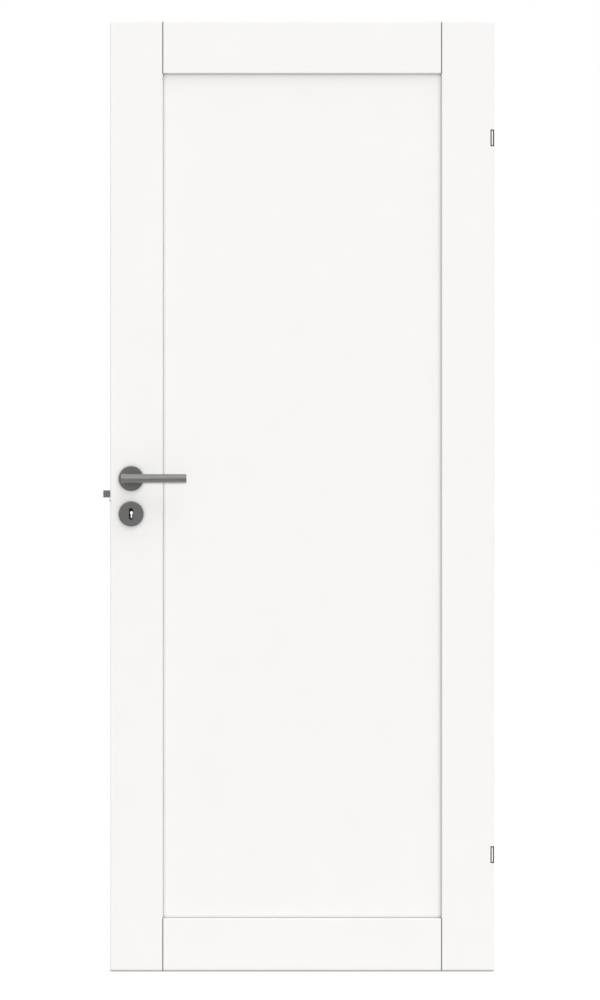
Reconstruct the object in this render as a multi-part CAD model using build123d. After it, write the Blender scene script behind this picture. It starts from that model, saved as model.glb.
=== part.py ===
from build123d import *
import os

os.makedirs("parts", exist_ok=True)

# A white interior door leaf with one recessed panel, with its lock, round bar levers,
# keyhole roses and the two hinge sockets in its edge. Millimetres, up is +Z.
# The photographed side faces -Y, the hinge edge is the plane x = 0 and the lock edge is
# at x = -825. The origin is on the flat face of the lower hinge plate, in the middle of
# the leaf's thickness.

# Leaf
LEAF_WIDTH = 825.0
LEAF_HEIGHT = 2040.0
LEAF_THICK = 40.0
MEMBER = 113.0
TOP_RAIL_HEIGHT = 111.5
ARRIS = 1.75
PANEL_THICK = 19.4
GROOVE = 10.0
GROOVE_PLAY = 0.4
JOINT_WIDTH = 2.4
JOINT_DEPTH = 5.0
HINGE_FROM_END = 250.0

# Places of the furniture, from the lock edge and from the bottom of the leaf
BACKSET = 45.0
SPINDLE_HEIGHT = 1058.0
KEY_DROP = 76.0
LATCH_DROP = 33.0
DEAD_BOLT_DROP = 47.0

# Round covers and the plastic bases inside them
ROSE_RADIUS = 26.3
ROSE_THICK = 8.0
ROSE_WALL = 1.6
ROSE_EDGE = 1.5

# Lever, of round bar with a round neck set in from its end
BAR_RADIUS = 9.5
BAR_LENGTH = 140.0
BAR_OVERHANG = 20.0
BAR_OUT = 46.0
BAR_EDGE = 0.8
NECK_RADIUS = 9.0
SHANK_RADIUS = 7.2
NECK_DIP = 0.8
SHANK_END_GAP = 0.5
GRUB_RADIUS = 2.5
GRUB_FROM_ROSE = 6.0
RUNNING = 0.3

# Square spindle and the hub that it turns
SPINDLE_SIDE = 8.0
SPINDLE_LENGTH = 104.0
HUB_RADIUS = 11.0
HUB_HOLE_RADIUS = 12.5

# Keyhole, and the wider slots around it
KEYHOLE_HEAD_RADIUS = 4.0
KEYHOLE_HEAD_UP = 2.2
KEYHOLE_STEM = 4.6
KEYHOLE_FOOT = 8.8
COVER_SLOT_WIDTH = 9.3
COVER_SLOT_HEIGHT = 25.3
LEAF_SLOT_WIDTH = 12.0
LEAF_SLOT_HEIGHT = 29.0

# Lock case with its face plate
PLATE_THICK = 3.0
PLATE_WIDTH = 20.0
PLATE_HEIGHT = 180.0
PLATE_END_FLAT = 1.0
PLATE_SCREW_IN = 10.0
CASE_THICK = 16.0
CASE_DEPTH = 65.0
CASE_ABOVE_SPINDLE = 28.0
CASE_BELOW_KEY = 32.0
CASE_CORNER = 5.0

# Latch and dead bolt
LATCH_HEIGHT = 15.5
LATCH_THICK = 11.0
LATCH_PROUD = 15.6
LATCH_TAIL = 32.0
LATCH_TIP = 3.0
LATCH_FLAT = 2.0
LATCH_EDGE = 0.6
LATCH_ROOM = 50.0
DEAD_BOLT_HEIGHT = 6.5
DEAD_BOLT_THICK = 10.0
DEAD_BOLT_PROUD = 1.8
DEAD_BOLT_TAIL = 38.0
DEAD_BOLT_EDGE = 0.8
DEAD_BOLT_ROOM = 41.0

# Hinge sockets, from the front face and from the hinge edge
SOCKET_WIDTH = 8.0
SOCKET_HEIGHT = 36.0
SOCKET_RIM = 2.4
SOCKET_SKIN = 3.5
SOCKET_DEPTH = 12.0
SOCKET_BACK = 16.0
SOCKET_WALL = 1.2
HINGE_PLATE_THICK = 2.0
HINGE_PLATE_WIDTH = 19.0
HINGE_PLATE_HEIGHT = 64.0
HINGE_PLATE_CORNER = 4.0
HINGE_SCREW_IN = 8.0
PIN_BORE_RADIUS = 3.2
PIN_FROM_EDGE = 4.6
PIN_MOUTH = 5.4
CLIP_PLAY = 0.1
CLIP_SUNK = 0.1
CLIP_SHY = 0.8

# Countersunk holes for the screws of both kinds of plate
SCREW_HOLE_RADIUS = 2.2
SCREW_HEAD_RADIUS = 4.2

LOCK_EDGE = -LEAF_WIDTH
BOTTOM = -HINGE_FROM_END
TOP = BOTTOM + LEAF_HEIGHT
UPPER_HINGE_Z = TOP - HINGE_FROM_END
FACE = LEAF_THICK / 2
ROSE_FACE = FACE + ROSE_THICK
AXIS_X = LOCK_EDGE + BACKSET
SPINDLE_Z = BOTTOM + SPINDLE_HEIGHT
KEY_Z = SPINDLE_Z - KEY_DROP
LATCH_Z = SPINDLE_Z - LATCH_DROP
DEAD_BOLT_Z = SPINDLE_Z - DEAD_BOLT_DROP
CASE_X = LOCK_EDGE + PLATE_THICK
CASE_LOW = KEY_Z - CASE_BELOW_KEY
CASE_HIGH = SPINDLE_Z + CASE_ABOVE_SPINDLE
PLATE_Z = (CASE_LOW + CASE_HIGH) / 2


def block(x0, x1, y0, y1, z0, z1):
    """A box between two corners."""
    middle = Pos((x0 + x1) / 2, (y0 + y1) / 2, (z0 + z1) / 2)
    return middle * Box(x1 - x0, y1 - y0, z1 - z0)


def disc(x, z, radius, y0, y1):
    """A round bar through the thickness of the leaf."""
    return Pos(x, (y0 + y1) / 2, z) * Rot(90, 0, 0) * Cylinder(radius, y1 - y0)


def rod(x0, x1, y, z, radius):
    """A round bar along the width of the leaf."""
    return Pos((x0 + x1) / 2, y, z) * Rot(0, 90, 0) * Cylinder(radius, x1 - x0)


def slot(width, height, y0, y1):
    """An upright slot with round ends, around the keyhole."""
    radius = width / 2
    reach = height / 2 - radius
    middle = block(AXIS_X - radius, AXIS_X + radius, y0, y1, KEY_Z - reach, KEY_Z + reach)
    upper = disc(AXIS_X, KEY_Z + reach, radius, y0, y1)
    lower = disc(AXIS_X, KEY_Z - reach, radius, y0, y1)
    return middle + upper + lower


def keyhole(y0, y1):
    """The round head and straight stem of a lever lock's keyhole."""
    head_z = KEY_Z + KEYHOLE_HEAD_UP
    head = disc(AXIS_X, head_z, KEYHOLE_HEAD_RADIUS, y0, y1)
    half = KEYHOLE_STEM / 2
    return head + block(AXIS_X - half, AXIS_X + half, y0, y1, KEY_Z - KEYHOLE_FOOT, head_z)


def screw_seat(x, y, z, depth, inward):
    """A countersunk screw hole through a plate whose face is at x; inward is 1 or -1."""
    sink = SCREW_HEAD_RADIUS - SCREW_HOLE_RADIUS
    turn = Rot(0, 90 * inward, 0)
    head = Pos(x + inward * sink / 2, y, z) * turn * Cone(SCREW_HEAD_RADIUS, SCREW_HOLE_RADIUS, sink)
    shaft = Pos(x + inward * depth / 2, y, z) * turn * Cylinder(SCREW_HOLE_RADIUS, depth)
    return head + shaft


# Stiles and rails: an arris round the leaf and round the panel, and a shadow groove in
# both faces where a rail butts against a stile
JOINTS_X = (LOCK_EDGE + MEMBER, -MEMBER)
PANEL_LOW = BOTTOM + MEMBER
PANEL_HIGH = TOP - TOP_RAIL_HEIGHT
RAILS_Z = ((BOTTOM, PANEL_LOW), (PANEL_HIGH, TOP))
leaf_form = chamfer(block(LOCK_EDGE, 0, -FACE, FACE, BOTTOM, TOP).edges(), ARRIS)


def joint_groove(x, z0, z1):
    half = JOINT_WIDTH / 2
    bottom = FACE - JOINT_DEPTH
    front = block(x - half, x + half, -LEAF_THICK, -bottom, z0, z1)
    return front + mirror(front, about=Plane.XZ)


def panel_flare():
    """The arris around the panel's opening, in both faces."""
    centre_x = (JOINTS_X[0] + JOINTS_X[1]) / 2
    centre_z = (PANEL_LOW + PANEL_HIGH) / 2
    width = JOINTS_X[1] - JOINTS_X[0] + 2 * ARRIS
    height = PANEL_HIGH - PANEL_LOW + 2 * ARRIS
    mouth = Rectangle(width, height)
    inward = Plane(origin=(centre_x, -FACE, centre_z), x_dir=(1, 0, 0), z_dir=(0, 1, 0))
    front = extrude(inward * mouth, ARRIS, taper=45)
    return front + mirror(front, about=Plane.XZ)


def panel_board(thick):
    half = thick / 2
    x0 = JOINTS_X[0] - GROOVE
    x1 = JOINTS_X[1] + GROOVE
    return block(x0, x1, -half, half, PANEL_LOW - GROOVE, PANEL_HIGH + GROOVE)


relief = panel_flare() + panel_board(PANEL_THICK + 2 * GROOVE_PLAY)
for x in JOINTS_X:
    for z0, z1 in RAILS_Z:
        relief += joint_groove(x, z0, z1)


def member(x0, x1, z0, z1):
    return (block(x0, x1, -FACE, FACE, z0, z1) & leaf_form) - relief


panel = panel_board(PANEL_THICK)
lock_stile = member(LOCK_EDGE, JOINTS_X[0], BOTTOM, TOP)
hinge_stile = member(JOINTS_X[1], 0, BOTTOM, TOP)
bottom_rail, top_rail = (member(*JOINTS_X, z0, z1) for z0, z1 in RAILS_Z)


# Lock: the case and face plate are let into the stile, with a way for each bolt
def bolt_way(z, height, thick, depth):
    half = height / 2 + RUNNING
    side = thick / 2 + RUNNING
    return block(LOCK_EDGE - PLATE_THICK, CASE_X + depth, -side, side, z - half, z + half)


def face_plate_blank():
    half = PLATE_HEIGHT / 2
    side = PLATE_WIDTH / 2
    plate = block(LOCK_EDGE, CASE_X, -side, side, PLATE_Z - half, PLATE_Z + half)
    return fillet(plate.edges().filter_by(Axis.X), side - PLATE_END_FLAT / 2)


def lock_case_blank():
    side = CASE_THICK / 2
    case = block(CASE_X, CASE_X + CASE_DEPTH, -side, side, CASE_LOW, CASE_HIGH)
    inner_corners = case.edges().filter_by(Axis.Y).sort_by(Axis.X)[-2:]
    return fillet(inner_corners, CASE_CORNER)


bolt_ways = bolt_way(LATCH_Z, LATCH_HEIGHT, LATCH_THICK, LATCH_ROOM)
bolt_ways += bolt_way(DEAD_BOLT_Z, DEAD_BOLT_HEIGHT, DEAD_BOLT_THICK, DEAD_BOLT_ROOM)

face_plate = face_plate_blank() - bolt_ways
plate_screw_out = PLATE_HEIGHT / 2 - PLATE_SCREW_IN
for z in (PLATE_Z - plate_screw_out, PLATE_Z + plate_screw_out):
    face_plate -= screw_seat(LOCK_EDGE, 0, z, PLATE_THICK, 1)

lock_case = lock_case_blank() - bolt_ways
lock_case -= disc(AXIS_X, SPINDLE_Z, HUB_RADIUS + RUNNING, -FACE, FACE)
lock_case -= keyhole(-FACE, FACE)

lock_stile = lock_stile - lock_case_blank() - face_plate_blank()
lock_stile -= disc(AXIS_X, SPINDLE_Z, HUB_HOLE_RADIUS, -LEAF_THICK, LEAF_THICK)
lock_stile -= slot(LEAF_SLOT_WIDTH, LEAF_SLOT_HEIGHT, -LEAF_THICK, LEAF_THICK)


def make_latch_bolt():
    """Flat to the front, sloped to the back, because the leaf opens to the front."""
    nose = LOCK_EDGE - LATCH_PROUD
    tail = CASE_X + LATCH_TAIL
    half = LATCH_THICK / 2
    outline = Polyline(
        (nose, -half),
        (tail, -half),
        (tail, half),
        (LOCK_EDGE - LATCH_FLAT, half),
        (nose, LATCH_TIP - half),
        close=True,
    )
    bolt = extrude(make_face(outline), LATCH_HEIGHT, dir=(0, 0, 1))
    bolt = Pos(0, 0, LATCH_Z - LATCH_HEIGHT / 2) * bolt
    return fillet(bolt.faces().sort_by(Axis.X)[0].edges(), LATCH_EDGE)


def make_dead_bolt():
    side = DEAD_BOLT_THICK / 2
    half = DEAD_BOLT_HEIGHT / 2
    bolt = block(
        LOCK_EDGE - DEAD_BOLT_PROUD,
        CASE_X + DEAD_BOLT_TAIL,
        -side,
        side,
        DEAD_BOLT_Z - half,
        DEAD_BOLT_Z + half,
    )
    return chamfer(bolt.faces().sort_by(Axis.X)[0].edges(), DEAD_BOLT_EDGE)


def make_spindle():
    side = SPINDLE_SIDE / 2
    half = SPINDLE_LENGTH / 2
    return block(AXIS_X - side, AXIS_X + side, -half, half, SPINDLE_Z - side, SPINDLE_Z + side)


spindle = make_spindle()
hub_half = CASE_THICK / 2
lock_hub = disc(AXIS_X, SPINDLE_Z, HUB_RADIUS, -hub_half, hub_half) - spindle


# Levers and roses, made for the front and mirrored for the back
def make_lever():
    """Round bar and neck; the neck's shank turns in the base, a grub screw holds the spindle."""
    bar_y = -FACE - BAR_OUT
    start = AXIS_X - BAR_OVERHANG
    bar = rod(start, start + BAR_LENGTH, bar_y, SPINDLE_Z, BAR_RADIUS)
    bar = chamfer(bar.edges().filter_by(GeomType.CIRCLE), BAR_EDGE)
    neck_end = NECK_DIP - ROSE_FACE
    neck = disc(AXIS_X, SPINDLE_Z, NECK_RADIUS, bar_y, neck_end)
    shank = disc(AXIS_X, SPINDLE_Z, SHANK_RADIUS, neck_end, -FACE - SHANK_END_GAP)
    grub_y = -ROSE_FACE - GRUB_FROM_ROSE
    grub_hole = Pos(AXIS_X, grub_y, SPINDLE_Z - NECK_RADIUS / 2) * Cylinder(GRUB_RADIUS, NECK_RADIUS)
    return bar + neck + shank - spindle - grub_hole


def cover_inside(z):
    """The room in a cover, which its base fills."""
    return disc(AXIS_X, z, ROSE_RADIUS - ROSE_WALL, ROSE_WALL - ROSE_FACE, -FACE)


def cover_shell(z):
    """A round pressed cover, hollow towards the leaf."""
    cover = disc(AXIS_X, z, ROSE_RADIUS, -ROSE_FACE, -FACE)
    cover = fillet(cover.faces().sort_by(Axis.Y)[0].edges(), ROSE_EDGE)
    return cover - cover_inside(z)


neck_hole = disc(AXIS_X, SPINDLE_Z, NECK_RADIUS + RUNNING, -LEAF_THICK, -FACE)
shank_hole = disc(AXIS_X, SPINDLE_Z, SHANK_RADIUS + RUNNING, -LEAF_THICK, -FACE)

furniture = {
    "lever": make_lever(),
    "rose": cover_shell(SPINDLE_Z) - neck_hole,
    "rose_base": cover_inside(SPINDLE_Z) - shank_hole,
    "keyhole_rose": cover_shell(KEY_Z) - slot(COVER_SLOT_WIDTH, COVER_SLOT_HEIGHT, -LEAF_THICK, 0),
    "keyhole_rose_base": cover_inside(KEY_Z) - keyhole(-LEAF_THICK, 0),
}


# Hinge sockets: a steel box behind the front face whose rim shows in it, one with the
# plate in the hinge edge, and a clip that the frame's upright pin snaps into sideways
SOCKET_FRONT_Y = SOCKET_SKIN - FACE
SOCKET_BACK_Y = SOCKET_BACK - FACE


def socket_space(inset, depth, y0, y1, z, open_by):
    """A box at the hinge edge, smaller than the socket's height by inset all round."""
    half = SOCKET_HEIGHT / 2 - inset
    return block(inset - depth, open_by, y0, y1, z - half, z + half)


def hinge_blank(z):
    """The outer form of a hinge socket, which is also the mortise it sits in."""
    rim = socket_space(0, SOCKET_WIDTH, -FACE, SOCKET_FRONT_Y, z, 0)
    body = socket_space(0, SOCKET_DEPTH, SOCKET_FRONT_Y, SOCKET_BACK_Y, z, 0)
    half = HINGE_PLATE_HEIGHT / 2
    plate_back = SOCKET_BACK_Y + HINGE_PLATE_WIDTH
    plate = block(-HINGE_PLATE_THICK, 0, SOCKET_BACK_Y, plate_back, z - half, z + half)
    plate = fillet(plate.edges().filter_by(Axis.X), HINGE_PLATE_CORNER)
    neck_back = SOCKET_BACK_Y + HINGE_PLATE_CORNER
    plate_neck = socket_space(0, HINGE_PLATE_THICK, SOCKET_BACK_Y - SOCKET_WALL, neck_back, z, 0)
    return rim + body + plate + plate_neck


def socket_room(z):
    """The inside of the box, open at the hinge edge."""
    return socket_space(
        SOCKET_WALL, SOCKET_DEPTH, SOCKET_FRONT_Y + SOCKET_WALL, SOCKET_BACK_Y - SOCKET_WALL, z, 0
    )


def make_hinge_housing(z):
    window = socket_space(
        SOCKET_RIM, SOCKET_WIDTH, -LEAF_THICK, SOCKET_FRONT_Y + SOCKET_WALL, z, -SOCKET_RIM
    )
    housing = hinge_blank(z) - window - socket_room(z)
    screw_out = HINGE_PLATE_HEIGHT / 2 - HINGE_SCREW_IN
    screw_y = SOCKET_BACK_Y + HINGE_PLATE_WIDTH / 2
    for screw_z in (z - screw_out, z + screw_out):
        housing -= screw_seat(0, screw_y, screw_z, HINGE_PLATE_THICK, -1)
    return housing


def make_hinge_clip(z):
    pin_y = (SOCKET_FRONT_Y + SOCKET_BACK_Y) / 2
    inset = SOCKET_RIM + CLIP_PLAY
    nose = socket_space(inset, SOCKET_WIDTH, CLIP_SUNK - FACE, pin_y, z, -inset)
    shy = block(-CLIP_SHY, 0, -FACE, FACE, z - SOCKET_HEIGHT, z + SOCKET_HEIGHT)
    bore = Pos(-PIN_FROM_EDGE, pin_y, z) * Cylinder(PIN_BORE_RADIUS, SOCKET_HEIGHT)
    half = SOCKET_HEIGHT / 2
    side = PIN_MOUTH / 2
    mouth = block(-PIN_FROM_EDGE, 0, pin_y - side, pin_y + side, z - half, z + half)
    return nose + socket_room(z) - shy - bore - mouth


nodes = {
    "lock_stile": lock_stile,
    "top_rail": top_rail,
    "bottom_rail": bottom_rail,
    "panel": panel,
    "lock_case": lock_case,
    "lock_face_plate": face_plate,
    "latch_bolt": make_latch_bolt(),
    "dead_bolt": make_dead_bolt(),
    "lock_hub": lock_hub,
    "spindle": spindle,
}

for name, shape in furniture.items():
    nodes["front_" + name] = shape
    nodes["back_" + name] = mirror(shape, about=Plane.XZ)

for name, z in (("lower", 0.0), ("upper", UPPER_HINGE_Z)):
    nodes[name + "_hinge_housing"] = make_hinge_housing(z)
    nodes[name + "_hinge_clip"] = make_hinge_clip(z)
    hinge_stile -= hinge_blank(z)

nodes["hinge_stile"] = hinge_stile

for name, shape in nodes.items():
    export_step(shape, "parts/" + name + ".step")
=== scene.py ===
import math

import bmesh
import bpy
from mathutils import Matrix, Vector


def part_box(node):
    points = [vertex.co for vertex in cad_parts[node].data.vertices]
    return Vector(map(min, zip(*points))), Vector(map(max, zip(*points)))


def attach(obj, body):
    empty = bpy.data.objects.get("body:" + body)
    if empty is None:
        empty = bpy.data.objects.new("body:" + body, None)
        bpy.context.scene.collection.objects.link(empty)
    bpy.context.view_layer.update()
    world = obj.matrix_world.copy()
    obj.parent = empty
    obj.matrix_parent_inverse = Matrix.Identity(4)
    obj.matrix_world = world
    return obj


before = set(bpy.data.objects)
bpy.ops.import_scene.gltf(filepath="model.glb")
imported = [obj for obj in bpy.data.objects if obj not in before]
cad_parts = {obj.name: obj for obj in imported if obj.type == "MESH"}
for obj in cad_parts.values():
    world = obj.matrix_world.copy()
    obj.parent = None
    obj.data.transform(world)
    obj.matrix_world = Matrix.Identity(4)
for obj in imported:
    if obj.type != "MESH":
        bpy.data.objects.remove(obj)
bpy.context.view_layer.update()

# The photograph's frame, in its own pixels
PHOTO_WIDTH = 600
PHOTO_HEIGHT = 1000
LEAF_TOP_PIXEL = 21.5
LEAF_BOTTOM_PIXEL = 971.0
LEAF_MIDDLE_PIXEL = 302.2

# The camera's distance and reach in metres, and the height of its sensor in millimetres
CAMERA_DISTANCE = 10.0
CAMERA_REACH = 200.0
CAMERA_SENSOR = 36.0

leaf_low, leaf_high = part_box("lock_stile")
HINGE_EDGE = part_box("hinge_stile")[1].x
FRONT_FACE = leaf_low.y
LEAF_BOTTOM = leaf_low.z
LEAF_HEIGHT = leaf_high.z - leaf_low.z
LEAF_CENTRE_X = (leaf_low.x + HINGE_EDGE) / 2
METRES_PER_PIXEL = LEAF_HEIGHT / (LEAF_BOTTOM_PIXEL - LEAF_TOP_PIXEL)


def box_centre(node):
    low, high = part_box(node)
    return (low + high) / 2


# Camera: square on, far away, with a long lens
def make_camera():
    data = bpy.data.cameras.new("camera")
    camera = bpy.data.objects.new("camera", data)
    bpy.context.scene.collection.objects.link(camera)
    data.type = "PERSP"
    data.sensor_fit = "VERTICAL"
    data.sensor_height = CAMERA_SENSOR
    view_height = PHOTO_HEIGHT * METRES_PER_PIXEL
    data.lens = CAMERA_SENSOR * CAMERA_DISTANCE / view_height
    data.clip_end = CAMERA_REACH
    across = (PHOTO_WIDTH / 2 - LEAF_MIDDLE_PIXEL) * METRES_PER_PIXEL
    up = (LEAF_BOTTOM_PIXEL - PHOTO_HEIGHT / 2) * METRES_PER_PIXEL
    camera.location = (LEAF_CENTRE_X + across, FRONT_FACE - CAMERA_DISTANCE, LEAF_BOTTOM + up)
    camera.rotation_euler = (math.pi / 2, 0, 0)
    bpy.context.scene.camera = camera


# Node helpers
def new_node(tree, kind, **inputs):
    """A node with some of its inputs set; a name with underscores stands for one with spaces."""
    node = tree.nodes.new(kind)
    for name, value in inputs.items():
        node.inputs[name.replace("_", " ")].default_value = value
    return node


def math_node(tree, operation, first, second=None, clamp=False):
    node = tree.nodes.new("ShaderNodeMath")
    node.operation = operation
    node.use_clamp = clamp
    for socket, value in zip(node.inputs, (first, second)):
        if value is None:
            continue
        if isinstance(value, (int, float)):
            socket.default_value = value
        else:
            tree.links.new(value, socket)
    return node.outputs[0]


def mix_colours(tree, factor, first, second):
    """First where factor is 0, second where it is 1; either may be a colour or a socket."""
    node = tree.nodes.new("ShaderNodeMix")
    node.data_type = "RGBA"
    for socket, value in ((node.inputs[0], factor), (node.inputs[6], first), (node.inputs[7], second)):
        if isinstance(value, bpy.types.NodeSocket):
            tree.links.new(value, socket)
        else:
            socket.default_value = value
    return node.outputs[2]


def mix_values(tree, factor, first, second):
    node = tree.nodes.new("ShaderNodeMix")
    node.data_type = "FLOAT"
    for socket, value in ((node.inputs[0], factor), (node.inputs[2], first), (node.inputs[3], second)):
        tree.links.new(value, socket)
    return node.outputs[0]


def remap(tree, value, low, high, to_low, to_high):
    node = tree.nodes.new("ShaderNodeMapRange")
    tree.links.new(value, node.inputs["Value"])
    node.inputs["From Min"].default_value = low
    node.inputs["From Max"].default_value = high
    node.inputs["To Min"].default_value = to_low
    node.inputs["To Max"].default_value = to_high
    return node.outputs["Result"]


def new_group(name, inputs, outputs):
    """An empty shader node group; inputs are (name, type, default) and outputs (name, type)."""
    group = bpy.data.node_groups.new(name, "ShaderNodeTree")
    for label, kind, default in inputs:
        socket = group.interface.new_socket(name=label, in_out="INPUT", socket_type=kind)
        socket.default_value = default
    for label, kind in outputs:
        group.interface.new_socket(name=label, in_out="OUTPUT", socket_type=kind)
    return group, group.nodes.new("NodeGroupInput"), group.nodes.new("NodeGroupOutput")


def place_group(tree, group, **inputs):
    node = tree.nodes.new("ShaderNodeGroup")
    node.node_tree = group
    for name, value in inputs.items():
        node.inputs[name.replace("_", " ")].default_value = value
    return node


# Shared effects
def make_grain_group():
    """Two sizes of soft noise, for the skin of sprayed paint, moulded plastic and zinc."""
    group, inside, outside = new_group(
        "fine grain",
        [
            ("Grains per Metre", "NodeSocketFloat", 600.0),
            ("Waves per Metre", "NodeSocketFloat", 40.0),
            ("Wave Share", "NodeSocketFloat", 0.4),
        ],
        [("Height", "NodeSocketFloat"), ("Patches", "NodeSocketFloat")],
    )
    place = group.nodes.new("ShaderNodeTexCoord")
    fine = new_node(group, "ShaderNodeTexNoise", Detail=2.0, Roughness=0.5)
    broad = new_node(group, "ShaderNodeTexNoise", Detail=3.0, Roughness=0.6)
    for noise, scale in ((fine, "Grains per Metre"), (broad, "Waves per Metre")):
        group.links.new(place.outputs["Object"], noise.inputs["Vector"])
        group.links.new(inside.outputs[scale], noise.inputs["Scale"])
    wave = math_node(group, "MULTIPLY", broad.outputs["Fac"], inside.outputs["Wave Share"])
    group.links.new(math_node(group, "ADD", fine.outputs["Fac"], wave), outside.inputs["Height"])
    group.links.new(broad.outputs["Fac"], outside.inputs["Patches"])
    return group


OCCLUSION_SAMPLES = 12


def make_corner_group():
    """How deep in a corner or joint a point lies, from 0 in the open to 1."""
    group, inside, outside = new_group(
        "corner depth",
        [("Reach", "NodeSocketFloat", 0.004), ("Sharpness", "NodeSocketFloat", 2.0)],
        [("Depth", "NodeSocketFloat")],
    )
    occlusion = group.nodes.new("ShaderNodeAmbientOcclusion")
    occlusion.samples = OCCLUSION_SAMPLES
    group.links.new(inside.outputs["Reach"], occlusion.inputs["Distance"])
    shut = math_node(group, "SUBTRACT", 1.0, occlusion.outputs["AO"], clamp=True)
    sharp = math_node(group, "POWER", shut, inside.outputs["Sharpness"])
    group.links.new(sharp, outside.inputs["Depth"])
    return group


STREAK_SHARE = 0.22
RING_STREAK_SHARE = 0.15
END_FACING = 0.6


def make_brush_group():
    """Fine parallel brush lines; Stretch is the number of lines a metre along each axis."""
    group, inside, outside = new_group(
        "brush lines",
        [("Stretch", "NodeSocketVector", (20.0, 3000.0, 3000.0))],
        [("Lines", "NodeSocketFloat"), ("Streaks", "NodeSocketFloat")],
    )
    place = group.nodes.new("ShaderNodeTexCoord")
    scaled = group.nodes.new("ShaderNodeVectorMath")
    scaled.operation = "MULTIPLY"
    group.links.new(place.outputs["Object"], scaled.inputs[0])
    group.links.new(inside.outputs["Stretch"], scaled.inputs[1])
    for label, scale, detail in (("Lines", 1.0, 3.0), ("Streaks", STREAK_SHARE, 2.0)):
        noise = new_node(group, "ShaderNodeTexNoise", Scale=scale, Detail=detail)
        group.links.new(scaled.outputs[0], noise.inputs["Vector"])
        group.links.new(noise.outputs["Fac"], outside.inputs[label])
    return group


def make_turned_group():
    """Fine rings around an axis through Centre; Across is 0 along that axis and 1 across it."""
    group, inside, outside = new_group(
        "turned rings",
        [
            ("Centre", "NodeSocketVector", (0.0, 0.0, 0.0)),
            ("Across", "NodeSocketVector", (1.0, 0.0, 1.0)),
            ("Rings per Metre", "NodeSocketFloat", 2500.0),
        ],
        [("Lines", "NodeSocketFloat"), ("Streaks", "NodeSocketFloat")],
    )
    place = group.nodes.new("ShaderNodeTexCoord")
    offset = group.nodes.new("ShaderNodeVectorMath")
    offset.operation = "SUBTRACT"
    group.links.new(place.outputs["Object"], offset.inputs[0])
    group.links.new(inside.outputs["Centre"], offset.inputs[1])
    flat = group.nodes.new("ShaderNodeVectorMath")
    flat.operation = "MULTIPLY"
    group.links.new(offset.outputs[0], flat.inputs[0])
    group.links.new(inside.outputs["Across"], flat.inputs[1])
    radius = group.nodes.new("ShaderNodeVectorMath")
    radius.operation = "LENGTH"
    group.links.new(flat.outputs[0], radius.inputs[0])
    rings = math_node(group, "MULTIPLY", radius.outputs["Value"], inside.outputs["Rings per Metre"])
    for label, share, detail in (("Lines", 1.0, 3.0), ("Streaks", RING_STREAK_SHARE, 2.0)):
        noise = group.nodes.new("ShaderNodeTexNoise")
        noise.noise_dimensions = "1D"
        noise.inputs["Detail"].default_value = detail
        group.links.new(math_node(group, "MULTIPLY", rings, share), noise.inputs["W"])
        group.links.new(noise.outputs["Fac"], outside.inputs[label])
    return group


def make_lever_parts_group():
    """Which points of a lever lie on its neck and which on the flat ends of its bar."""
    group, inside, outside = new_group(
        "lever parts",
        [("Bar Centre", "NodeSocketVector", (0.0, 0.0, 0.0)), ("Bar Radius", "NodeSocketFloat", 0.0095)],
        [("Neck", "NodeSocketFloat"), ("Ends", "NodeSocketFloat")],
    )
    place = group.nodes.new("ShaderNodeTexCoord")
    offset = group.nodes.new("ShaderNodeVectorMath")
    offset.operation = "SUBTRACT"
    group.links.new(place.outputs["Object"], offset.inputs[0])
    group.links.new(inside.outputs["Bar Centre"], offset.inputs[1])
    away = group.nodes.new("ShaderNodeSeparateXYZ")
    group.links.new(offset.outputs[0], away.inputs[0])
    far = math_node(group, "ABSOLUTE", away.outputs["Y"])
    neck = math_node(group, "GREATER_THAN", far, inside.outputs["Bar Radius"])
    group.links.new(neck, outside.inputs["Neck"])
    facing = group.nodes.new("ShaderNodeSeparateXYZ")
    group.links.new(place.outputs["Normal"], facing.inputs[0])
    endways = math_node(group, "ABSOLUTE", facing.outputs["X"])
    group.links.new(math_node(group, "GREATER_THAN", endways, END_FACING), outside.inputs["Ends"])
    return group


GRAIN = make_grain_group()
CORNERS = make_corner_group()
BRUSHED = make_brush_group()
TURNED = make_turned_group()
LEVER_PARTS = make_lever_parts_group()


# Materials
def new_material(name, metallic, specular=0.5):
    material = bpy.data.materials.new(name)
    material.use_nodes = True
    tree = material.node_tree
    shader = tree.nodes["Principled BSDF"]
    shader.inputs["Metallic"].default_value = metallic
    shader.inputs["Specular IOR Level"].default_value = specular
    return material, tree, shader


def add_bump(tree, shader, height, distance, strength):
    bump = new_node(tree, "ShaderNodeBump", Strength=strength, Distance=distance)
    tree.links.new(height, bump.inputs["Height"])
    tree.links.new(bump.outputs["Normal"], shader.inputs["Normal"])


# The stretches of soft noise that a tone or a roughness is spread over
NOISE_NARROW = (0.35, 0.65)
NOISE_WIDE = (0.3, 0.7)

PAINT_LIGHT = (0.900, 0.888, 0.872, 1.0)
PAINT_SHADE = (0.890, 0.878, 0.862, 1.0)
# Painted shade: the dark tone that corners within 10 mm take on, for the shadow in the panel's recess and
# around the roses
PAINT_CORNER_PAINTED_SHADE = (0.13, 0.125, 0.119, 1.0)
# Dust and painted shade: the near-black tone that joints within 3 mm take on, for the dark lines where
# stiles, rails and panel meet
SEAM_DUST_AND_PAINTED_SHADE = (0.12, 0.115, 0.108, 1.0)
PAINT_ROUGH = (0.40, 0.46)
PAINT_SKIN = 0.00004


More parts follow.
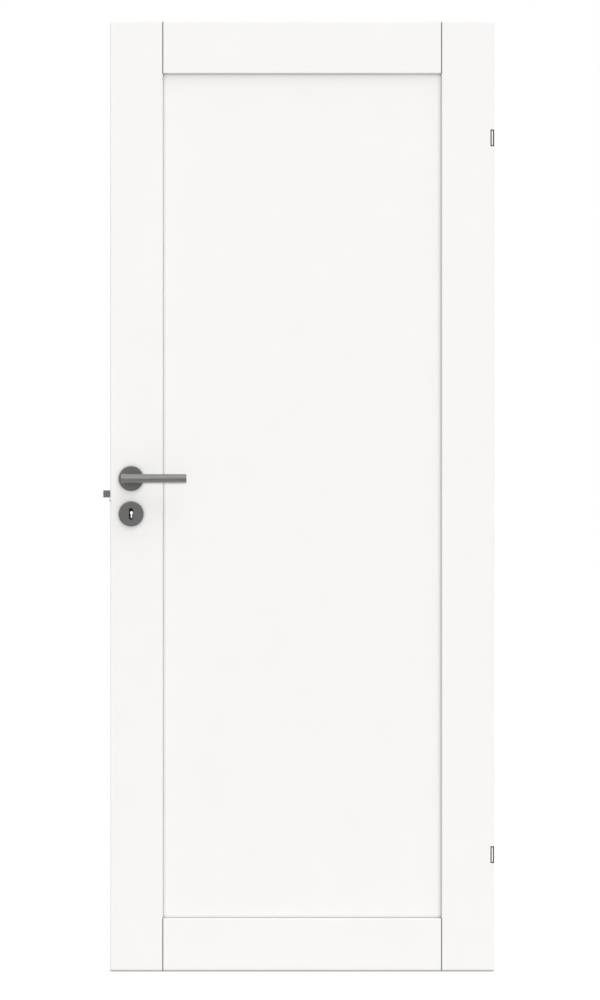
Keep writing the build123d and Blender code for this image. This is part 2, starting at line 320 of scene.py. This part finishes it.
def make_paint():
    """Sprayed white satin paint, with painted shade darkening its corners, and painted shade with some
    dust darkening its joints.
    """
    material, tree, shader = new_material("white satin paint", 0.0)
    grain = place_group(tree, GRAIN, Grains_per_Metre=700.0, Waves_per_Metre=9.0, Wave_Share=0.6)
    # Painted shade: how deep a point lies in a corner, up to 10 mm away
    corner = place_group(tree, CORNERS, Reach=0.010, Sharpness=1.5)
    # Dust and painted shade along the joints, up to 3 mm away
    seam = place_group(tree, CORNERS, Reach=0.003, Sharpness=1.1)
    tone = remap(tree, grain.outputs["Patches"], *NOISE_NARROW, 0.0, 1.0)
    open_colour = mix_colours(tree, tone, PAINT_LIGHT, PAINT_SHADE)
    painted_shade_colour = mix_colours(tree, corner.outputs["Depth"], open_colour, PAINT_CORNER_PAINTED_SHADE)
    colour = mix_colours(tree, seam.outputs["Depth"], painted_shade_colour, SEAM_DUST_AND_PAINTED_SHADE)
    tree.links.new(colour, shader.inputs["Base Color"])
    roughness = remap(tree, grain.outputs["Patches"], *NOISE_WIDE, *PAINT_ROUGH)
    tree.links.new(roughness, shader.inputs["Roughness"])
    add_bump(tree, shader, grain.outputs["Height"], PAINT_SKIN, strength=0.5)
    return material


# How dark metal turns in corners within 3 mm, as a share of its dark tone
CORNER_DARKENING_SHARE = 0.45
LINE_DEPTH = 0.00002
ZINC_SKIN = 0.00003
BAR_RADIUS = 0.0095
BAR_LIGHT = (0.37, 0.37, 0.365, 1.0)
BAR_DARK = (0.25, 0.25, 0.246, 1.0)
BAR_ROUGH = (0.20, 0.32)
# The roses are the same satin steel as the lever, coloured darker: a painted reflection of dark
# surroundings in front of them
COVER_PAINTED_SHADE_LIGHT = (0.225, 0.225, 0.222, 1.0)
COVER_PAINTED_SHADE_DARK = (0.180, 0.180, 0.178, 1.0)
COVER_ROUGH = (0.38, 0.52)
PLATE_ROUGH = (0.30, 0.44)
BOLT_LIGHT = (0.27, 0.266, 0.258, 1.0)
BOLT_DARK = (0.21, 0.207, 0.20, 1.0)
BOLT_ROUGH = (0.28, 0.42)
ZINC_LIGHT = (0.15, 0.15, 0.149, 1.0)
ZINC_DARK = (0.10, 0.10, 0.099, 1.0)
ZINC_ROUGH = (0.40, 0.58)


def metal_look(tree, shader, lines, streaks, light, dark, rough, depth=LINE_DEPTH):
    """Colour from the streaks, roughness and bump from the lines, and a darker tone in corners within 3
    mm.
    """
    tone = remap(tree, streaks, *NOISE_WIDE, 0.0, 1.0)
    colour = mix_colours(tree, tone, dark, light)
    corner = place_group(tree, CORNERS, Reach=0.003, Sharpness=1.5)
    # Darker in corners within 3 mm, from the occlusion depth
    corner_tone = tuple(CORNER_DARKENING_SHARE * part for part in dark[:3]) + (1.0,)
    colour = mix_colours(tree, corner.outputs["Depth"], colour, corner_tone)
    tree.links.new(colour, shader.inputs["Base Color"])
    tree.links.new(remap(tree, lines, *NOISE_WIDE, *rough), shader.inputs["Roughness"])
    add_bump(tree, shader, lines, depth, strength=0.6)


def make_lever_steel(name, centre):
    """Satin stainless bar brushed along its length, with its ends and neck turned on a lathe."""
    material, tree, shader = new_material(name, 1.0)
    parts = place_group(tree, LEVER_PARTS, Bar_Centre=tuple(centre), Bar_Radius=BAR_RADIUS)
    bar = place_group(tree, BRUSHED, Stretch=(25.0, 3200.0, 3200.0))
    neck = place_group(tree, BRUSHED, Stretch=(60.0, 3200.0, 60.0))
    ends = place_group(tree, TURNED, Centre=tuple(centre), Across=(0.0, 1.0, 1.0),
                       Rings_per_Metre=2600.0)
    looks = []
    for look in ("Lines", "Streaks"):
        body = mix_values(tree, parts.outputs["Neck"], bar.outputs[look], neck.outputs[look])
        looks.append(mix_values(tree, parts.outputs["Ends"], body, ends.outputs[look]))
    metal_look(tree, shader, *looks, BAR_LIGHT, BAR_DARK, BAR_ROUGH)
    return material


def make_turned_steel(name, centre):
    """Satin stainless cover, finished on a lathe in fine rings; its colour is darker than the lever's
    steel, a painted reflection of dark surroundings.
    """
    material, tree, shader = new_material(name, 1.0)
    rings = place_group(tree, TURNED, Centre=tuple(centre), Rings_per_Metre=2600.0)
    looks = (rings.outputs["Lines"], rings.outputs["Streaks"])
    metal_look(tree, shader, *looks, COVER_PAINTED_SHADE_LIGHT, COVER_PAINTED_SHADE_DARK, COVER_ROUGH)
    return material


def make_plate_steel():
    """Satin stainless plate, ground along its height."""
    material, tree, shader = new_material("satin steel plate", 1.0)
    lines = place_group(tree, BRUSHED, Stretch=(3200.0, 3200.0, 25.0))
    looks = (lines.outputs["Lines"], lines.outputs["Streaks"])
    metal_look(tree, shader, *looks, BAR_LIGHT, BAR_DARK, PLATE_ROUGH)
    return material


def make_bolt_steel():
    """Nickel plated bolts, ground along their travel."""
    material, tree, shader = new_material("nickel plated bolt", 1.0)
    lines = place_group(tree, BRUSHED, Stretch=(60.0, 2200.0, 2200.0))
    looks = (lines.outputs["Lines"], lines.outputs["Streaks"])
    metal_look(tree, shader, *looks, BOLT_LIGHT, BOLT_DARK, BOLT_ROUGH)
    return material


def make_zinc():
    """Dull zinc plating with soft patches."""
    material, tree, shader = new_material("zinc plated steel", 1.0)
    grain = place_group(tree, GRAIN, Grains_per_Metre=1500.0, Waves_per_Metre=160.0, Wave_Share=0.8)
    looks = (grain.outputs["Height"], grain.outputs["Patches"])
    metal_look(tree, shader, *looks, ZINC_LIGHT, ZINC_DARK, ZINC_ROUGH, ZINC_SKIN)
    return material


MOULDED_SKIN = 0.00003
# Black moulded bases; where one shows in the keyhole slot, its near-black also stands in for the shade
# deep in the slot
BLACK_LIGHT = (0.012, 0.012, 0.013, 1.0)
BLACK_DARK = (0.008, 0.008, 0.009, 1.0)
BLACK_ROUGH = (0.5, 0.65)
# Dark steel, and painted shade for the shadow gap around the white hinge clips
SOCKET_LIGHT = (0.020, 0.020, 0.021, 1.0)
SOCKET_DARK = (0.013, 0.013, 0.014, 1.0)
SOCKET_ROUGH = (0.5, 0.62)
NYLON_LIGHT = (0.93, 0.92, 0.905, 1.0)
NYLON_DARK = (0.91, 0.90, 0.885, 1.0)
NYLON_ROUGH = (0.42, 0.52)


def make_grained(name, light, dark, rough, specular):
    """Moulded plastic or powder coating, with a fine grained skin."""
    material, tree, shader = new_material(name, 0.0, specular)
    grain = place_group(tree, GRAIN, Grains_per_Metre=2600.0, Waves_per_Metre=120.0, Wave_Share=0.3)
    tone = remap(tree, grain.outputs["Patches"], *NOISE_NARROW, 0.0, 1.0)
    tree.links.new(mix_colours(tree, tone, dark, light), shader.inputs["Base Color"])
    roughness = remap(tree, grain.outputs["Patches"], *NOISE_WIDE, *rough)
    tree.links.new(roughness, shader.inputs["Roughness"])
    add_bump(tree, shader, grain.outputs["Height"], MOULDED_SKIN, strength=0.7)
    return material


def wear(node, material):
    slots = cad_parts[node].data.materials
    slots.clear()
    slots.append(material)


def bar_centre(lever, outward):
    """The middle of a lever's bar, which is the outermost piece of the lever."""
    low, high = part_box(lever)
    axis_y = low.y + BAR_RADIUS if outward < 0 else high.y - BAR_RADIUS
    return Vector(((low.x + high.x) / 2, axis_y, (low.z + high.z) / 2))


white_paint = make_paint()
lever_steel = {
    "front_": make_lever_steel("satin steel front lever", bar_centre("front_lever", -1)),
    "back_": make_lever_steel("satin steel back lever", bar_centre("back_lever", 1)),
}
plate_steel = make_plate_steel()
bolt_steel = make_bolt_steel()
zinc = make_zinc()
black_plastic_and_slot_shade = make_grained("black moulded plastic and slot shade", BLACK_LIGHT, BLACK_DARK, BLACK_ROUGH, specular=0.15)
hinge_housing_black_and_shade = make_grained("black coated steel", SOCKET_LIGHT, SOCKET_DARK, SOCKET_ROUGH, specular=0.2)
white_nylon = make_grained("white nylon", NYLON_LIGHT, NYLON_DARK, NYLON_ROUGH, specular=0.5)
lever_ring_steel = make_turned_steel("satin steel lever rose", box_centre("front_rose"))
key_ring_steel = make_turned_steel("satin steel keyhole rose", box_centre("front_keyhole_rose"))

for node in ("lock_stile", "hinge_stile", "top_rail", "bottom_rail", "panel"):
    wear(node, white_paint)
for side in ("front_", "back_"):
    wear(side + "lever", lever_steel[side])
    wear(side + "rose", lever_ring_steel)
    wear(side + "keyhole_rose", key_ring_steel)
    # Black bases, whose near-black in the keyhole slot is also painted shade
    wear(side + "rose_base", black_plastic_and_slot_shade)
    wear(side + "keyhole_rose_base", black_plastic_and_slot_shade)
for end in ("lower_", "upper_"):
    # Near-black housings: their own dark finish, and painted shade for the gap around the clips
    wear(end + "hinge_housing", hinge_housing_black_and_shade)
    wear(end + "hinge_clip", white_nylon)
wear("lock_face_plate", plate_steel)
wear("lock_case", zinc)
wear("lock_hub", zinc)
wear("spindle", zinc)
wear("latch_bolt", bolt_steel)
wear("dead_bolt", bolt_steel)


# Screws
HEAD_RADIUS = 0.0040
HEAD_CONE = 0.0019
HEAD_EDGE = 0.0002
HEAD_SIDES = 48
HEAD_TURN = 0.3
HEAD_SHY = 0.0001
RECESS_ARM = 0.0024
RECESS_WIDTH = 0.0009
RECESS_DEPTH = 0.0013
RECESS_FOOT_LENGTH = 0.45
RECESS_FOOT_WIDTH = 0.6


def ring_point(shape, radius, turn, depth):
    return shape.verts.new((radius * math.cos(turn), radius * math.sin(turn), depth))


def round_ring(shape, radius, depth, sides):
    """A ring of vertices around the axis of a screw."""
    return [ring_point(shape, radius, 2 * math.pi * i / sides, depth) for i in range(sides)]


def skin_rings(shape, rings):
    """Joins each ring to the next and closes the first and the last."""
    sides = len(rings[0])
    for lower, upper in zip(rings, rings[1:]):
        for i in range(sides):
            j = (i + 1) % sides
            shape.faces.new((lower[i], lower[j], upper[j], upper[i]))
    shape.faces.new(rings[0][::-1])
    shape.faces.new(rings[-1])


def new_object(name, shape):
    """The finished mesh as an object in the scene."""
    mesh = bpy.data.meshes.new(name)
    shape.to_mesh(mesh)
    shape.free()
    made = bpy.data.objects.new(name, mesh)
    bpy.context.scene.collection.objects.link(made)
    return made


def countersunk_screw(name, place, outward, material, body):
    """A flat head with a cross recess, its face at place, looking along outward."""
    shape = bmesh.new()
    profile = (
        (HEAD_RADIUS - HEAD_CONE, -HEAD_CONE),
        (HEAD_RADIUS, -HEAD_EDGE),
        (HEAD_RADIUS - HEAD_EDGE, 0.0),
    )
    skin_rings(shape, [round_ring(shape, radius, depth, HEAD_SIDES) for radius, depth in profile])
    screw = new_object(name, shape)
    for angle in (0.0, math.pi / 2):
        cut_recess(screw, angle)
    face_out = Vector((0, 0, 1)).rotation_difference(Vector(outward)).to_matrix().to_4x4()
    turned = Matrix.Rotation(HEAD_TURN, 4, "Z")
    screw.data.transform(Matrix.Translation(place) @ face_out @ turned)
    screw.data.materials.append(material)
    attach(screw, body)


def cut_recess(screw, angle):
    """Takes one tapered arm of the cross out of the head."""
    shape = bmesh.new()
    bmesh.ops.create_cube(shape, size=1.0)
    for vert in shape.verts:
        low = vert.co.z < 0
        vert.co.x *= 2 * RECESS_ARM * (RECESS_FOOT_LENGTH if low else 1.0)
        vert.co.y *= RECESS_WIDTH * (RECESS_FOOT_WIDTH if low else 1.0)
        vert.co.z = -RECESS_DEPTH if low else RECESS_DEPTH
    cutter = new_object("cutter", shape)
    cutter.rotation_euler.z = angle
    modifier = screw.modifiers.new("recess", "BOOLEAN")
    modifier.object = cutter
    modifier.operation = "DIFFERENCE"
    modifier.solver = "EXACT"
    bpy.context.view_layer.update()
    shown = screw.evaluated_get(bpy.context.evaluated_depsgraph_get())
    cut = bpy.data.meshes.new_from_object(shown)
    screw.modifiers.clear()
    screw.data = cut
    bpy.data.objects.remove(cutter)


PLATE_SCREW_IN = 0.010
HINGE_SCREW_IN = 0.008
HINGE_PLATE_WIDTH = 0.019

plate_low, plate_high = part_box("lock_face_plate")
for name, z in (
    ("face_plate_screw_low", plate_low.z + PLATE_SCREW_IN),
    ("face_plate_screw_high", plate_high.z - PLATE_SCREW_IN),
):
    place = (plate_low.x + HEAD_SHY, (plate_low.y + plate_high.y) / 2, z)
    countersunk_screw(name, place, (-1, 0, 0), plate_steel, "leaf")

for end in ("lower", "upper"):
    housing_low, housing_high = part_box(end + "_hinge_housing")
    across = housing_high.y - HINGE_PLATE_WIDTH / 2
    for name, z in (
        (end + "_hinge_screw_low", housing_low.z + HINGE_SCREW_IN),
        (end + "_hinge_screw_high", housing_high.z - HINGE_SCREW_IN),
    ):
        place = (housing_high.x - HEAD_SHY, across, z)
        countersunk_screw(name, place, (1, 0, 0), zinc, "leaf")


# Grub screws that hold the lever necks on the spindle
GRUB_RADIUS = 0.00245
GRUB_LENGTH = 0.0038
GRUB_EDGE = 0.0003
GRUB_SIDES = 36
GRUB_SHY = 0.0006
GRUB_KEY = 0.00125
GRUB_KEY_DEPTH = 0.0020
GRUB_FROM_ROSE = 0.006
NECK_RADIUS = 0.009


def hexagon_ring(shape, flat_radius, depth, sides):
    """A ring of vertices on a hexagon, as many as on the round rings that it joins."""
    ring = []
    for i in range(sides):
        turn = 2 * math.pi * i / sides
        off_middle = (turn % (math.pi / 3)) - math.pi / 6
        ring.append(ring_point(shape, flat_radius / math.cos(off_middle), turn, depth))
    return ring


def socket_grub(name, place, material):
    """A set screw seen from below: a plain rim around a six-sided socket."""
    shape = bmesh.new()
    rings = [
        round_ring(shape, GRUB_RADIUS, GRUB_LENGTH, GRUB_SIDES),
        round_ring(shape, GRUB_RADIUS, GRUB_EDGE, GRUB_SIDES),
        round_ring(shape, GRUB_RADIUS - GRUB_EDGE, 0.0, GRUB_SIDES),
        hexagon_ring(shape, GRUB_KEY, 0.0, GRUB_SIDES),
        hexagon_ring(shape, GRUB_KEY, GRUB_KEY_DEPTH, GRUB_SIDES),
    ]
    skin_rings(shape, rings)
    bmesh.ops.recalc_face_normals(shape, faces=shape.faces)
    bmesh.ops.translate(shape, verts=shape.verts, vec=place)
    grub = new_object(name, shape)
    grub.data.materials.append(material)
    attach(grub, "levers")


neck_centre = box_centre("spindle")
for side, outward in (("front", -1), ("back", 1)):
    rose_low, rose_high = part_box(side + "_rose")
    rose_face = rose_low.y if outward < 0 else rose_high.y
    across = rose_face + outward * GRUB_FROM_ROSE
    below = neck_centre.z - NECK_RADIUS + GRUB_SHY
    socket_grub(side + "_grub_screw", (neck_centre.x, across, below), bolt_steel)


# Surroundings: a white world and floor, a key lamp from the front, a broad lamp from above
# on the right and a fill for the back. Metal mirrors the world and the floor, not the lamps
WORLD_FILL = 0.46
KEY_STRENGTH = 1.27
KEY_SPREAD = math.radians(4)
KEY_HEIGHT = math.radians(2.2)
KEY_SIDE = math.radians(2.5)
TOP_STRENGTH = 1.35
TOP_SPREAD = math.radians(50)
TOP_HEIGHT = math.radians(62)
TOP_SIDE = math.radians(38)
BACK_STRENGTH = 1.3
BACK_SPREAD = math.radians(30)
BACK_HEIGHT = math.radians(18)
BACK_SIDE = math.radians(168)
FLOOR_TONE = 0.54
FLOOR_GLOW = 0.60
FLOOR_GLOW_IN_METAL = 0.05
FLOOR_DROP = 0.002
FLOOR_HALF = 60.0
WHITE = (1.0, 1.0, 1.0, 1.0)


def background_rays(tree, for_camera, for_metal):
    """The strength with which camera rays, and glossy or transmission rays, see the background."""
    path = tree.nodes.new("ShaderNodeLightPath")
    shiny = math_node(tree, "MAXIMUM", path.outputs["Is Glossy Ray"], path.outputs["Is Transmission Ray"])
    seen_in_metal = math_node(tree, "MULTIPLY", shiny, for_metal)
    seen = math_node(tree, "MULTIPLY", path.outputs["Is Camera Ray"], for_camera)
    return math_node(tree, "MAXIMUM", seen, seen_in_metal)


def make_world():
    world = bpy.data.worlds.new("white room")
    bpy.context.scene.world = world
    world.use_nodes = True
    tree = world.node_tree
    background = tree.nodes["Background"]
    background.inputs["Color"].default_value = WHITE
    strength = math_node(tree, "MAXIMUM", background_rays(tree, 1.0, 1.0), WORLD_FILL)
    tree.links.new(strength, background.inputs["Strength"])


def make_floor():
    shape = bmesh.new()
    bmesh.ops.create_grid(shape, x_segments=1, y_segments=1, size=FLOOR_HALF)
    floor = new_object("floor", shape)
    floor.location = (LEAF_CENTRE_X, 0, LEAF_BOTTOM - FLOOR_DROP)
    material, tree, shader = new_material("white floor", 0.0, specular=0.0)
    shader.inputs["Base Color"].default_value = (FLOOR_TONE, FLOOR_TONE, FLOOR_TONE, 1.0)
    shader.inputs["Roughness"].default_value = 1.0
    shader.inputs["Emission Color"].default_value = WHITE
    glow = background_rays(tree, FLOOR_GLOW, FLOOR_GLOW_IN_METAL)
    tree.links.new(glow, shader.inputs["Emission Strength"])
    floor.data.materials.append(material)


def make_sun(name, strength, spread, height, side):
    """A round lamp far away, at a height above the horizon and a side angle right of the front."""
    data = bpy.data.lights.new(name, "SUN")
    data.energy = strength
    data.angle = spread
    sun = bpy.data.objects.new(name, data)
    bpy.context.scene.collection.objects.link(sun)
    toward = Vector((math.sin(side), -math.cos(side), math.tan(height))).normalized()
    sun.rotation_euler = toward.to_track_quat("Z", "Y").to_euler()
    sun.visible_glossy = False


make_camera()
make_world()
make_floor()
make_sun("front key", KEY_STRENGTH, KEY_SPREAD, KEY_HEIGHT, KEY_SIDE)
make_sun("overhead strip", TOP_STRENGTH, TOP_SPREAD, TOP_HEIGHT, TOP_SIDE)
make_sun("back fill", BACK_STRENGTH, BACK_SPREAD, BACK_HEIGHT, BACK_SIDE)
bpy.context.scene.view_settings.view_transform = "Standard"
